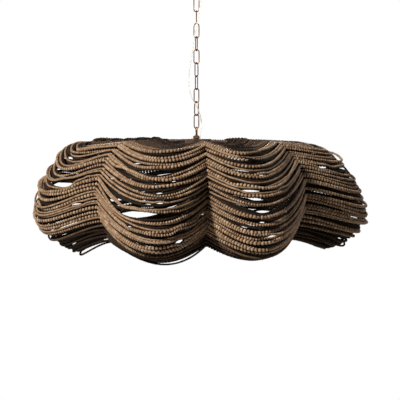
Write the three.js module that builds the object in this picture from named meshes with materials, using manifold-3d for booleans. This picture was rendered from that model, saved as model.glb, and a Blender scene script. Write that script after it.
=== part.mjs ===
// A round chandelier of six lobes, draped with strands of wooden beads, on a copper chain.
// Millimetres, +Z up. The origin is the middle of the ceiling plate's upper face, and the lamp
// hangs below it. A rib of the frame stands at -Y, and the next ones follow every 60 degrees.
import * as THREE from 'three';
import { mergeVertices } from 'three/addons/utils/BufferGeometryUtils.js';
import Module from 'manifold-3d';

const wasm = await Module();
wasm.setup();

// Clearances and fineness
const seatGap = 0.3; // between two pieces that touch
const weldDistance = 0.0001;
const cutOverrun = 1; // how far a cut runs past the face that it opens
const roundSides = 20;
const smallSides = 10;
const wireSides = 8;
const ringSteps = 16;

// Ceiling plate, canopy and terminal block
const plateRadius = 55;
const plateThickness = 3;
const plateBossRadius = 10;
const plateBossDrop = 14;
const plateFloor = 5; // solid depth above the boss's blind bore
const screwHoleRadius = 2.6;
const screwHoleReach = 38;
const supplyHoleRadius = 7;
const supplyHoleReach = 26;
const canopyRadius = 65;
const canopyHeight = 45;
const canopyWall = 1.5;
const canopyFlatRadius = 22;
const ringNutRadius = 13;
const ringNutHeight = 9;
const nutEdgeShare = 0.2; // of a nut's height, cut off at each outer edge
const terminalSize = new THREE.Vector3(22, 14, 12);
const terminalReach = 36;

// Loops at the two ends of the chain, each with a neck
const loopWire = 5;
const loopWidth = 22;
const loopLength = 30;
const neckRadius = 6;
const neckBoreRadius = 2.8;
const windowWidth = 5.4;
const windowRoom = 3; // what is left of the neck above the cord's side window
const hubNeckLength = 24;

// Chain links, from the top down: the turn of each one's plane about the vertical, in degrees.
// The planes of neighbouring links lie 60 to 90 degrees apart.
const linkTurnDegrees = [90, 0, 86, 8, 66, -12, 50, 110, 20, -48, 22];
const hubLoopTurnDegrees = 92;
const linkWire = 3.5;
const linkWidth = 20;
const linkLength = 48.5;

// Lamp cord
const cordDiameter = 4;
const cordSides = 8;
const cordSteps = 76;
const cordHoleClearance = 1;
const cordHubX = 11; // the hole where the cord goes down through the hub plate
const cordHubY = -11;

// Shade: heights are measured down from the top level, which is the collar's middle height
const collarRadius = 11;
const collarHeight = 10;
const collarRise = 4; // of the collar's top over the top level
const hubPlateRadius = 48;
const hubPlateThickness = 14;
const stemRadius = 9;
const stemFlangeRadius = 12.5;
const stemFlangeThickness = 4;
const stemLength = 130;
const stemBoreFloor = 3;

// Frame: ribs and the ring that ties their lower ends
const lobeCount = 6;
const ribRadius = 4;
const ribSides = 8;
const ribSteps = 22;
const ribSocketDepth = 12;
const ringWire = 6;
const ringFrameSteps = 40;

// Bead drapes
const ribGreatestRadius = 359; // from the axis to a rib, where the frame is widest
const lobeOverhang = 182; // how far a lobe's middle stands out past the ribs
const ribDrop = 321; // from the top level to the ribs' lower ends
const lobeDrop = 363; // from the top level to the lowest strand
const frontSag = 22; // how much lower the front lobes' loose strands hang
const backSag = 10;
const leftLift = 20; // how much higher the left lobe's hang
const rightLift = 8;
const leftTip = 75; // how far the left lobe's strands are tipped down towards the front
const drapeOuter = 5; // from the drape's middle surface to the crown of a strand
const drapeGroove = 1; // to the groove between strands
const drapeInner = 5; // to the inner face
const drapeEndShare = 0.4; // of those three, where the strands are tied to a rib
const strandRoom = 0.4; // between a rib and the ends of the strands that are tied to it
const drapeSteps = 8;
const strandsShown = 8; // ridges on each drape, each one standing for one or two strands

// Sockets and bulbs
const clusterRadius = 62;
const clusterThickness = 12;
const socketCount = 3;
const socketReach = 41;
const socketRadius = 17;
const socketHeight = 42;
const socketBoreRadius = 13.6;
const socketFloor = 6;
const bulbRadius = 30;
const bulbScrewRadius = 13;
const bulbShoulderRoom = 2; // from the socket's mouth down to the bulb's shoulder
const bulbNeckLength = 30;

// The frame's outline, row by row from the hub to the bottom ring, as shares of the sizes above:
// rib radius, rib depth, the lobe's overhang past the rib at its middle, lobe depth at its middle
const outlineShares = [
  [0.162, 0.043, 0.035, 0.036],
  [0.350, 0.049, 0.207, 0.050],
  [0.553, 0.061, 0.442, 0.068],
  [0.741, 0.082, 0.649, 0.092],
  [0.868, 0.189, 0.741, 0.204],
  [0.941, 0.299, 0.830, 0.331],
  [0.987, 0.418, 0.917, 0.468],
  [1.000, 0.543, 0.987, 0.612],
  [0.987, 0.665, 1.028, 0.733],
  [0.949, 0.784, 0.987, 0.840],
  [0.903, 0.896, 0.782, 0.931],
  [0.857, 1.000, 0.453, 1.000],
];

// The drapes of one lobe: name, and the rows of the outline between which each one hangs
const drapeRowShares = [
  ['shoulder', 0.8, 2.9],
  ['upper', 3.1, 4.75],
  ['middle', 5.0, 7.25],
  ['lower', 7.55, 10.8],
];

// The rows between which strands hang loose: taut up to the first, loose from the second to the
// third, and taut again from the last
const looseRowShares = [3, 4.2, 8.4, 10.8];

// The lobes, clockwise as seen from above, from the one to the left of the front rib: each one's
// name, its reach as a share of the common outline's, how far it hangs to one side, and how far
// its loose strands hang down and are tipped. The two front lobes lean towards the rib between
// them.
const lobes = [
  { name: 'front_left', bulgeShare: 1, leanDegrees: 25, sag: frontSag, tip: 0 },
  { name: 'left', bulgeShare: 0.95, leanDegrees: 0, sag: -leftLift, tip: leftTip },
  { name: 'back_left', bulgeShare: 1, leanDegrees: 0, sag: backSag, tip: 0 },
  { name: 'back_right', bulgeShare: 1, leanDegrees: 0, sag: backSag, tip: 0 },
  { name: 'right', bulgeShare: 1.01, leanDegrees: 0, sag: -rightLift, tip: 0 },
  { name: 'front_right', bulgeShare: 1, leanDegrees: -28, sag: frontSag, tip: 0 },
];

const copper = { color: 0x7a4a32, roughness: 0.42, metalness: 0.9 };
const iron = { color: 0x3a2a20, roughness: 0.6, metalness: 0.7 };
const wood = { color: 0x8a6e58, roughness: 0.7, metalness: 0 };
const clearVinyl = { color: 0xd8d4c8, roughness: 0.25, metalness: 0 };
const smokedGlass = { color: 0x5c4630, roughness: 0.12, metalness: 0 };
const blackPlastic = { color: 0x22201e, roughness: 0.5, metalness: 0 };

const lamp = new THREE.Group();
const halfTurn = Math.PI;
const quarterTurn = Math.PI / 2;
const fullTurn = Math.PI * 2;
const lobeTurn = fullTurn / lobeCount;

// Adds one named piece to the lamp
function addPiece(name, geometry, look) {
  const bare = geometry.clone();
  bare.deleteAttribute('uv');
  const mesh = new THREE.Mesh(bare, new THREE.MeshStandardMaterial(look));
  mesh.name = name;
  lamp.add(mesh);
  return mesh;
}

// Welds a geometry's corners and drops the triangles that have no area, as at a lathe's axis
function welded(geometry) {
  const bare = geometry.clone();
  bare.deleteAttribute('normal');
  bare.deleteAttribute('uv');
  const merged = mergeVertices(bare, weldDistance);
  const kept = [];
  for (let i = 0; i < merged.index.count; i += 3) {
    const corners = [0, 1, 2].map((n) => merged.index.getX(i + n));
    if (new Set(corners).size === corners.length) kept.push(...corners);
  }
  merged.setIndex(kept);
  return merged;
}

function toSolid(geometry) {
  const merged = welded(geometry);
  return new wasm.Manifold(new wasm.Mesh({
    numProp: 3,
    vertProperties: new Float32Array(merged.attributes.position.array),
    triVerts: new Uint32Array(merged.index.array),
  }));
}

function toGeometry(solid) {
  const mesh = solid.getMesh();
  const geometry = new THREE.BufferGeometry();
  geometry.setAttribute('position', new THREE.BufferAttribute(mesh.vertProperties, 3));
  geometry.setIndex(new THREE.BufferAttribute(mesh.triVerts, 1));
  return geometry;
}

// Joins the first list of geometries and cuts the second list out of the result
function shaped(joined, cuts = []) {
  let solid = toSolid(joined[0]);
  joined.slice(1).forEach((geometry) => {
    solid = solid.add(toSolid(geometry));
  });
  cuts.forEach((geometry) => {
    solid = solid.subtract(toSolid(geometry));
  });
  return toGeometry(solid);
}

// An upright cylinder from one height to another
function upright(radius, bottom, top, sides = roundSides) {
  const geometry = new THREE.CylinderGeometry(radius, radius, top - bottom, sides);
  geometry.rotateX(quarterTurn);
  geometry.translate(0, 0, (top + bottom) / 2);
  return geometry;
}

// A turned shape about the vertical axis, from [radius, height] points in order, outer wall upwards
function turned(points, sides = roundSides) {
  const profile = points.map(([radius, height]) => new THREE.Vector2(radius, height));
  const geometry = new THREE.LatheGeometry(profile, sides);
  geometry.rotateX(quarterTurn);
  return geometry;
}

// An oval ring of wire standing upright: a torus parted at its middle height
function ovalRing(width, length, wire) {
  const radius = (width - wire) / 2;
  const geometry = new THREE.TorusGeometry(radius, wire / 2, wireSides, ringSteps);
  geometry.rotateZ(halfTurn / ringSteps);
  geometry.rotateX(quarterTurn);
  const crown = radius * Math.cos(halfTurn / ringSteps);
  const lift = (length - wire) / 2 - crown;
  const place = geometry.attributes.position;
  for (let i = 0; i < place.count; i += 1) {
    place.setZ(i, place.getZ(i) + Math.sign(place.getZ(i)) * lift);
  }
  return geometry;
}

// Heights along the chain
const canopyBottom = -canopyHeight;
const ringNutTop = canopyBottom - seatGap;
const ringNutBottom = ringNutTop - ringNutHeight;
const canopyLoopMiddle = ringNutBottom - seatGap - loopLength / 2;
const canopyLoopSeat = canopyLoopMiddle - (loopLength - loopWire) / 2;
const linkReach = linkLength - linkWire; // between the middles of a link's two end wires
const wireStep = linkWire + seatGap; // between the middles of two crossing wires
const endStep = (linkWire + loopWire) / 2 + seatGap;
const firstLinkTop = canopyLoopSeat + endStep;
const linkCount = linkTurnDegrees.length;
const linkPitch = linkReach - wireStep;
const linkMiddles = linkTurnDegrees.map((turn, i) => firstLinkTop - linkReach / 2 - i * linkPitch);
const lastLinkSeat = linkMiddles[linkCount - 1] - linkReach / 2;
const hubLoopTop = lastLinkSeat + endStep;
const hubLoopMiddle = hubLoopTop - (loopLength - loopWire) / 2;
const hubLoopBottom = hubLoopMiddle - loopLength / 2;
const topLevel = hubLoopBottom - seatGap - collarRise;
const collarTop = topLevel + collarRise;
const plateTop = collarTop - collarHeight - seatGap;
const plateMiddle = plateTop - hubPlateThickness / 2;
const plateBottom = plateTop - hubPlateThickness;
const stemTop = plateTop;
const stemBottom = stemTop - stemLength;
const neckBottom = hubLoopBottom - hubNeckLength;

// Ceiling plate with its boss, two screw holes and the hole where the supply comes in
function ceilingPlate() {
  const disc = upright(plateRadius, -plateThickness, 0);
  const boss = upright(plateBossRadius, -plateBossDrop, -plateThickness / 2);
  const bore = upright(neckRadius + seatGap, -plateBossDrop - cutOverrun, -plateFloor);
  const screwHoles = [-1, 1].map((side) => {
    const hole = upright(screwHoleRadius, -plateThickness - cutOverrun, cutOverrun, smallSides);
    return hole.translate(0, side * screwHoleReach, 0);
  });
  const supply = upright(supplyHoleRadius, -plateThickness - cutOverrun, cutOverrun, smallSides);
  supply.translate(-supplyHoleReach, 0, 0);
  return shaped([disc, boss], [bore, ...screwHoles, supply]);
}

// Canopy: a turned cup whose open edge meets the ceiling
function canopy() {
  const hole = neckRadius + seatGap;
  const rimShares = [[1, 0], [0.985, 0.15], [0.91, 0.5], [0.68, 0.84]];
  const outer = rimShares.map(([r, h]) => [r * canopyRadius, -h * canopyHeight]).reverse();
  const innerRadius = canopyRadius - canopyWall;
  const innerHeight = canopyHeight - canopyWall;
  const inner = rimShares.map(([r, h]) => [r * innerRadius, -h * innerHeight]);
  return turned([
    [hole, canopyBottom],
    [canopyFlatRadius, canopyBottom],
    ...outer,
    ...inner,
    [canopyFlatRadius - canopyWall, canopyBottom + canopyWall],
    [hole, canopyBottom + canopyWall],
    [hole, canopyBottom],
  ]);
}

// A turned nut or collar with both its outer edges cut off
function ringNut(outerRadius, bottom, top) {
  const edge = (top - bottom) * nutEdgeShare;
  const hole = neckRadius + seatGap;
  return turned([
    [hole, bottom],
    [outerRadius - edge, bottom],
    [outerRadius, bottom + edge],
    [outerRadius, top - edge],
    [outerRadius - edge, top],
    [hole, top],
    [hole, bottom],
  ], smallSides * 2);
}

// Canopy loop: its hollow neck goes up through the canopy into the plate's boss, and the cord
// leaves the neck by a side window
const canopyNeckTop = -plateFloor - seatGap;
const windowTop = -plateBossDrop - windowRoom;
const windowBottom = canopyBottom + canopyWall + windowRoom;

function canopyLoop() {
  const ring = ovalRing(loopWidth, loopLength, loopWire).translate(0, 0, canopyLoopMiddle);
  const neckBottomZ = canopyLoopMiddle + loopLength / 2 - loopWire / 2;
  const neck = upright(neckRadius, neckBottomZ, canopyNeckTop);
  const boreTop = windowTop;
  const boreBottom = canopyLoopMiddle;
  const bore = upright(neckBoreRadius, boreBottom, boreTop, smallSides);
  const windowDepth = neckRadius + cutOverrun;
  const windowHeight = windowTop - windowBottom;
  const opening = new THREE.BoxGeometry(windowDepth, windowWidth, windowHeight);
  opening.translate(windowDepth / 2, 0, (windowTop + windowBottom) / 2);
  return shaped([ring, neck], [bore, opening]);
}

function hubLoop() {
  const ring = ovalRing(loopWidth, loopLength, loopWire);
  ring.rotateZ(THREE.MathUtils.degToRad(hubLoopTurnDegrees));
  ring.translate(0, 0, hubLoopMiddle);
  const neck = upright(neckRadius, neckBottom, hubLoopBottom + loopWire / 2);
  return shaped([ring, neck]);
}

function addMountingPieces() {
  addPiece('ceiling_plate', ceilingPlate(), copper);
  addPiece('canopy', canopy(), copper);
  addPiece('canopy_ring_nut', ringNut(ringNutRadius, ringNutBottom, ringNutTop), copper);
  addPiece('canopy_loop', canopyLoop(), copper);
  const block = new THREE.BoxGeometry(terminalSize.x, terminalSize.y, terminalSize.z);
  const blockMiddle = -plateThickness - seatGap - terminalSize.z / 2;
  addPiece('terminal_block', block, blackPlastic).position.set(terminalReach, 0, blockMiddle);
}

function addChain() {
  linkTurnDegrees.forEach((turn, i) => {
    const number = String(i + 1).padStart(2, '0');
    const link = addPiece(`chain_link_${number}`, ovalRing(linkWidth, linkLength, linkWire), copper);
    link.rotation.z = THREE.MathUtils.degToRad(turn);
    link.position.z = linkMiddles[i];
  });
  addPiece('hub_loop', hubLoop(), copper);
}

// Lamp cord, from the terminal block through the canopy's neck, down beside the chain, through
// the hub plate and down beside the stem to the socket cluster. The points are chosen by hand:
// [x, y] and the height as a distance below the ceiling or above the top level.
const terminalFace = terminalReach - terminalSize.x / 2 - seatGap;
const clusterTop = stemBottom - seatGap;
const cordPoints = [
  [terminalFace, 0, -11],
  [20, 0, -11.6],
  [15, 0, -15],
  [9.5, 0, -21],
  [4.5, 0, -27],
  [1, 0, -36],
  [0, 0, -48],
  [0, -0.6, -62],
  [3, -6, -73],
  [8, -8, -90],
  [12, -8, -112],
  [12, -9, -140],
  [8, -12, -165],
  [3, -14, -190],
  [-3, -14.5, -220],
  [-9, -14, -250],
  [-14, -13, -285],
  [-19, -12, -318],
  [-24, -11, -350],
  [-26, -10, -382],
  [-24, -11, -412],
  [-16, -13, -437],
  [-5, -14.5, -457],
  [5, -13, -477],
  [12, -10, -497],
  [15, -5, -517],
  [14.5, -9, -532],
  [cordHubX, cordHubY, topLevel + 3],
  [cordHubX, cordHubY, plateBottom - 4],
  [cordHubX, cordHubY, plateBottom - 40],
  [cordHubX, cordHubY, clusterTop + 30],
  [cordHubX, cordHubY, clusterTop + seatGap],
].map(([x, y, z]) => new THREE.Vector3(x, y, z));

function addCord() {
  const section = new THREE.Shape();
  for (let i = 0; i < cordSides; i += 1) {
    const angle = (i / cordSides) * fullTurn;
    const x = Math.cos(angle) * cordDiameter / 2;
    const y = Math.sin(angle) * cordDiameter / 2;
    if (i === 0) section.moveTo(x, y);
    else section.lineTo(x, y);
  }
  section.closePath();
  const route = new THREE.CatmullRomCurve3(cordPoints, false, 'centripetal');
  const tube = new THREE.ExtrudeGeometry(section, { steps: cordSteps, extrudePath: route });
  addPiece('lamp_cord', tube, clearVinyl);
}

// The shade's outline, read at any row between the table's rows
const ribOutline = new THREE.SplineCurve(outlineShares.map(([radius, depth]) => (
  new THREE.Vector2(radius * ribGreatestRadius, topLevel - depth * ribDrop)
)));
const lobeOutline = new THREE.SplineCurve(outlineShares.map(([radius, , overhang, depth]) => (
  new THREE.Vector2(radius * ribGreatestRadius + overhang * lobeOverhang, topLevel - depth * lobeDrop)
)));
const lastRow = outlineShares.length - 1;

function atRow(outline, row) {
  return outline.getPoint(row / lastRow);
}

// Frame: a hub plate with sockets in its rim, six ribs that plug into them, a stem under the plate
// and a ring below
const ringHeight = topLevel - ribDrop - seatGap - ringWire / 2;

function hubPlate() {
  const disc = upright(hubPlateRadius, plateBottom, plateTop);
  const middle = upright(stemRadius + seatGap, plateBottom - cutOverrun, plateTop + cutOverrun);
  const cordHoleRadius = (cordDiameter + cordHoleClearance) / 2;
  const cordHole = upright(cordHoleRadius, plateBottom - cutOverrun, plateTop + cutOverrun, smallSides);
  cordHole.translate(cordHubX, cordHubY, 0);
  const sockets = [];
  for (let i = 0; i < lobeCount; i += 1) {
    const length = ribSocketDepth + cutOverrun;
    const bore = new THREE.CylinderGeometry(ribRadius + seatGap, ribRadius + seatGap, length, ribSides);
    bore.translate(0, hubPlateRadius - ribSocketDepth + length / 2, 0);
    bore.rotateZ(halfTurn + i * lobeTurn);
    sockets.push(bore.translate(0, 0, plateMiddle));
  }
  return shaped([disc], [middle, cordHole, ...sockets]);
}

function stem() {
  const flangeTop = plateBottom - seatGap;
  const flangeBottom = flangeTop - stemFlangeThickness;
  const bore = neckRadius + seatGap;
  const boreBottom = neckBottom - stemBoreFloor;
  return turned([
    [0, stemBottom],
    [stemRadius, stemBottom],
    [stemRadius, flangeBottom],
    [stemFlangeRadius, flangeBottom],
    [stemFlangeRadius, flangeTop],
    [stemRadius, flangeTop],
    [stemRadius, stemTop],
    [bore, stemTop],
    [bore, boreBottom],
    [0, boreBottom],
  ]);
}

// One rib in the plane of +X and Z, from its socket in the hub plate down to the bottom ring
function rib() {
  const inner = hubPlateRadius - ribSocketDepth + seatGap;
  const points = [
    new THREE.Vector3(inner, 0, plateMiddle),
    new THREE.Vector3(hubPlateRadius, 0, plateMiddle),
  ];
  for (let row = 1; row <= lastRow; row += 1) {
    const { x, y } = atRow(ribOutline, row);
    points.push(new THREE.Vector3(x, 0, y));
  }
  const route = new THREE.CatmullRomCurve3(points, false, 'centripetal');
  const section = new THREE.Shape();
  section.absarc(0, 0, ribRadius, 0, fullTurn);
  return new THREE.ExtrudeGeometry(section, {
    steps: ribSteps,
    extrudePath: route,
    curveSegments: ribSides / 2,
  });
}

const ribNames = ['front', 'front_left', 'back_left', 'back', 'back_right', 'front_right'];

function addFrame() {
  const collarBottom = collarTop - collarHeight;
  addPiece('hub_collar', ringNut(collarRadius, collarBottom, collarTop), copper);
  addPiece('hub_plate', hubPlate(), iron);
  addPiece('hub_stem', stem(), iron);
  ribNames.forEach((name, i) => {
    addPiece(`rib_${name}`, rib(), iron).rotation.z = -quarterTurn - i * lobeTurn;
  });
  const ringRadius = atRow(ribOutline, lastRow).x;
  const ring = new THREE.TorusGeometry(ringRadius, ringWire / 2, wireSides, ringFrameSteps);
  addPiece('bottom_ring', ring, iron).position.z = ringHeight;
}

const nudge = 1e-3; // a small step along a row or across a lobe, to read a direction

// A point on a rib, in the axes of the lobe beside it: +X is outwards through the lobe's middle
function ribPoint(row) {
  const { x, y } = atRow(ribOutline, row);
  return new THREE.Vector3(x * Math.cos(lobeTurn / 2), x * Math.sin(lobeTurn / 2), y);
}

// How loosely strands hang at a row, from 0 to 1
function looseShare(row) {
  const [tautEnd, looseStart, looseEnd, tautStart] = looseRowShares;
  const onset = THREE.MathUtils.smoothstep(row, tautEnd, looseStart);
  return onset * (1 - THREE.MathUtils.smoothstep(row, looseEnd, tautStart));
}

// How far a strand's middle hangs out from the line between its two ends, and to which side
function swellFrom(row, from, lobe) {
  const lobePlace = atRow(lobeOutline, row);
  const reach = lobePlace.x * lobe.bulgeShare - from.x;
  const lean = THREE.MathUtils.degToRad(lobe.leanDegrees);
  const height = lobePlace.y - lobe.sag * looseShare(row);
  return new THREE.Vector3(reach * Math.cos(lean), reach * Math.sin(lean), height - from.z);
}

// Where a strand ends, on the side of -1 or 1: it butts against the rib, square to the rib's line
function strandEnd(row, side, lobe) {
  const rib = ribPoint(row);
  const ribLine = ribPoint(row + nudge).sub(ribPoint(row - nudge)).normalize();
  const leaving = swellFrom(row, rib, lobe).multiplyScalar(2);
  leaving.y -= side * rib.y;
  leaving.z -= side * 2 * lobe.tip * looseShare(row);
  rib.y *= side;
  ribLine.y *= side;
  leaving.normalize();
  const square = leaving.clone().addScaledVector(ribLine, -leaving.dot(ribLine)).normalize();
  return rib.addScaledVector(leaving, (ribRadius + strandRoom) / leaving.dot(square));
}

// A point on a lobe's middle surface. across runs from -1 at one rib to 1 at the other. Each
// strand is a parabola, both in plan and in height, and may be tipped lower on one side.
function drapePoint(across, row, lobe) {
  const nearEnd = strandEnd(row, -1, lobe);
  const farEnd = strandEnd(row, 1, lobe);
  const middle = nearEnd.clone().add(farEnd).multiplyScalar(0.5);
  const halfWay = farEnd.sub(nearEnd).multiplyScalar(across / 2);
  const swellShare = 1 - across * across;
  const place = middle.clone().add(halfWay);
  place.addScaledVector(swellFrom(row, middle, lobe), swellShare);
  place.z -= lobe.tip * looseShare(row) * across * swellShare;
  return place;
}

// The same point moved outwards from the surface by an offset, less at the ribs
function offsetPoint(across, row, lobe, offset) {
  const place = drapePoint(across, row, lobe);
  const along = drapePoint(across + nudge, row, lobe).sub(drapePoint(across - nudge, row, lobe));
  const down = drapePoint(across, row + nudge, lobe).sub(drapePoint(across, row - nudge, lobe));
  const outward = down.cross(along).normalize();
  const atEnd = Math.abs(across) === 1;
  return place.addScaledVector(outward, atEnd ? offset * drapeEndShare : offset);
}

// One drape: a curved sheet, ridged outside as its strands are, from one rib to the next. Its
// section has a ridge and a groove for each strand outside and one flat for each strand inside.
function drape(firstRow, finalRow, lobe) {
  const ridges = strandsShown * 2;
  const rowAt = (i) => firstRow + (finalRow - firstRow) * (i / ridges);
  const edge = [];
  for (let i = 0; i <= ridges; i += 1) {
    edge.push([rowAt(i), i % 2 === 0 ? drapeGroove : drapeOuter]);
  }
  for (let i = ridges; i >= 0; i -= 2) {
    edge.push([rowAt(i), -drapeInner]);
  }
  const corners = [];
  for (let step = 0; step <= drapeSteps; step += 1) {
    const across = -1 + 2 * (step / drapeSteps);
    edge.forEach(([row, offset]) => {
      corners.push(...offsetPoint(across, row, lobe, offset).toArray());
    });
  }
  const faces = [];
  const around = edge.length;
  for (let step = 0; step < drapeSteps; step += 1) {
    for (let i = 0; i < around; i += 1) {
      const a = step * around + i;
      const b = step * around + ((i + 1) % around);
      faces.push(a, b, b + around, a, b + around, a + around);
    }
  }
  const last = drapeSteps * around;
  for (let i = 0; i < ridges; i += 2) {
    const inner = around - 1 - i / 2;
    [[i, inner, i + 1], [i + 1, inner, inner - 1], [i + 1, inner - 1, i + 2]].forEach(([a, b, c]) => {
      faces.push(a, b, c);
      faces.push(last + a, last + c, last + b);
    });
  }
  const geometry = new THREE.BufferGeometry();
  geometry.setAttribute('position', new THREE.Float32BufferAttribute(corners, 3));
  geometry.setIndex(faces);
  return geometry;
}

function addDrapes() {
  lobes.forEach((lobe, i) => {
    drapeRowShares.forEach(([level, firstRow, finalRow]) => {
      const piece = drape(firstRow, finalRow, lobe);
      const mesh = addPiece(`beads_${lobe.name}_${level}`, piece, wood);
      mesh.rotation.z = -quarterTurn - (i + 0.5) * lobeTurn;
    });
  });
}

// Sockets hang under a round cluster body, each with a bulb screwed up into it
function socket(top) {
  const bottom = top - socketHeight;
  return turned([
    [0, top - socketFloor],
    [socketBoreRadius, top - socketFloor],
    [socketBoreRadius, bottom],
    [socketRadius, bottom],
    [socketRadius, top],
    [0, top],
  ], smallSides * 2);
}

function bulb(top, shoulder) {
  const ballMiddle = shoulder - bulbNeckLength;
  const points = [[0, top], [bulbScrewRadius, top], [bulbScrewRadius, shoulder]];
  const turns = 8;
  const neckAngle = Math.acos(bulbScrewRadius / bulbRadius);
  for (let i = 1; i <= turns; i += 1) {
    const angle = neckAngle - (i / turns) * (neckAngle + quarterTurn);
    points.push([bulbRadius * Math.cos(angle), ballMiddle + bulbRadius * Math.sin(angle)]);
  }
  points[points.length - 1][0] = 0;
  return turned(points.reverse(), ringSteps);
}

function addLights() {
  addPiece('socket_cluster', upright(clusterRadius, clusterTop - clusterThickness, clusterTop), iron);
  const socketTop = clusterTop - clusterThickness - seatGap;
  for (let i = 0; i < socketCount; i += 1) {
    const angle = quarterTurn + (i / socketCount) * fullTurn;
    const x = socketReach * Math.cos(angle);
    const y = socketReach * Math.sin(angle);
    addPiece(`socket_${i + 1}`, socket(socketTop), blackPlastic).position.set(x, y, 0);
    const bulbTop = socketTop - socketFloor - seatGap;
    const shoulder = socketTop - socketHeight - bulbShoulderRoom;
    addPiece(`bulb_${i + 1}`, bulb(bulbTop, shoulder), smokedGlass).position.set(x, y, 0);
  }
}

addMountingPieces();
addChain();
addCord();
addFrame();
addDrapes();
addLights();

export default lamp;
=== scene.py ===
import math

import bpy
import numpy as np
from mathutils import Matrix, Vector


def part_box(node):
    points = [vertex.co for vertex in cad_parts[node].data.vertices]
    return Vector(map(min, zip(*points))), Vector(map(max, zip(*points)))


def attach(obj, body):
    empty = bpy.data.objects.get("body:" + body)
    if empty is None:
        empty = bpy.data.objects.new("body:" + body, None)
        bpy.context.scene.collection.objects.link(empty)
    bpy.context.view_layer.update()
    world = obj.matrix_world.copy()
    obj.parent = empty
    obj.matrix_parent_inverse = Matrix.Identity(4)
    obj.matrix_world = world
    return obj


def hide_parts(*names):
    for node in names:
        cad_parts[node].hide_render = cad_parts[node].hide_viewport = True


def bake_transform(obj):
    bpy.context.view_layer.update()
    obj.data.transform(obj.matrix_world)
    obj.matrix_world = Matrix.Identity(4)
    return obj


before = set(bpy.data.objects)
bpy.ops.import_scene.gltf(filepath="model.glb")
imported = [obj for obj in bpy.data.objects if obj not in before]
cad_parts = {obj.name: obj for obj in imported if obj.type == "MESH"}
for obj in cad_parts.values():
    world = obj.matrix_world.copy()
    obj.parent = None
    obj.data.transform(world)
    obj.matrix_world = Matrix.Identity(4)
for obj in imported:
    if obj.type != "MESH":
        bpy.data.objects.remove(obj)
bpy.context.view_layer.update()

# %% [markdown]
# # A beaded chandelier
# A round lamp hangs on a copper chain. Six ribs carry its shade, and about three hundred
# strings of wooden beads are draped from rib to rib, so that the shade swells into six lobes.
# The frame of solids is loaded above: it has every piece at its real size and place, in metres,
# with +Z up. The origin is where the lamp meets the ceiling. What is missing is the look: single
# beads, a cord cut into stretches, smooth chain links, and the finishes. Each step below adds one of them.

# %% [markdown]
# # The camera
# The picture was taken from far away with a long lens, level with the top of the shade: the top
# strands are seen edge on, and the shade looks almost flat. A camera could be placed by eye, but
# the distance and the lens change the lobes' shapes in different ways. Here both come from the
# shade's own sizes, and the camera only tilts and turns a little to put the lamp where the
# picture has it.

# %% The camera's place, lens and tilt
top_level = -0.5618  # height of the frame's top, which the camera looks along
view_distance = 4.3
view_turn = math.radians(-5)  # the camera stands this far round from the front
image_side = 400
focal_pixels = 1343.75
horizon_rise = 63  # pixels from the image's middle up to the camera's own height
axis_left = 3.5  # pixels from the image's middle left to the lamp's axis

camera_data = bpy.data.cameras.new("picture_camera")
camera_data.sensor_width = 36
camera_data.lens = focal_pixels / image_side * camera_data.sensor_width
camera = bpy.data.objects.new("picture_camera", camera_data)
bpy.context.scene.collection.objects.link(camera)
camera.location = (
    view_distance * math.sin(view_turn),
    -view_distance * math.cos(view_turn),
    top_level,
)
tilt = math.atan2(horizon_rise, focal_pixels)
swing = math.atan2(axis_left, focal_pixels)
camera.rotation_euler = (math.pi / 2 - tilt, 0, view_turn - swing)
bpy.context.scene.camera = camera
bpy.context.scene.view_settings.view_transform = "Standard"
print("lens", round(camera_data.lens, 1), "mm, tilted", round(math.degrees(tilt), 2), "degrees")

# %% [markdown]
# # Studio light and floor
# The lamp hangs in a white studio. A small strong lamp stands to the front left and above, so each
# bead has one bright side and the lobe on the right falls into shade. A wider one behind lights
# the strands that are seen through the gaps, and a weak one at the back right gives that lobe its
# warm edge. The backdrop could be a lit wall, but then its light would flood the inside of the
# shade. Instead the sky is white to the camera and in what metal and clear vinyl mirror or let
# through, and a dim grey to all else.

# %% Floor, sky and lamps
floor_height = -2.4
floor_half = 4.0
shade_middle = top_level - 0.15  # the height that the lamps look at
floor_colour = (0.8, 0.79, 0.77, 1)
sky_strength = 0.025
sky_colour = (1.0, 0.985, 0.96, 1)


def white_behind(tree, surface, strength):
    """Joins a surface with plain white, which camera, glossy and transmitted rays see."""
    rays = tree.nodes.new("ShaderNodeLightPath")
    seen = rays.outputs["Is Camera Ray"]
    for ray in ("Is Glossy Ray", "Is Transmission Ray"):
        either = tree.nodes.new("ShaderNodeMath")
        either.operation = "MAXIMUM"
        tree.links.new(seen, either.inputs[0])
        tree.links.new(rays.outputs[ray], either.inputs[1])
        seen = either.outputs[0]
    white = tree.nodes.new("ShaderNodeBackground")
    white.inputs["Color"].default_value = (1, 1, 1, 1)
    white.inputs["Strength"].default_value = strength
    mix = tree.nodes.new("ShaderNodeMixShader")
    tree.links.new(seen, mix.inputs["Fac"])
    tree.links.new(surface, mix.inputs[1])
    tree.links.new(white.outputs[0], mix.inputs[2])
    return mix.outputs[0]


def lit_sky():
    """The world: a grey that lights the lamp, and white where the camera looks past it."""
    world = bpy.data.worlds.new("studio")
    world.use_nodes = True
    tree = world.node_tree
    grey = tree.nodes["Background"]
    grey.inputs["Color"].default_value = sky_colour
    grey.inputs["Strength"].default_value = sky_strength
    out = tree.nodes["World Output"]
    tree.links.new(white_behind(tree, grey.outputs[0], 1.0), out.inputs["Surface"])
    return world


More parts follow.
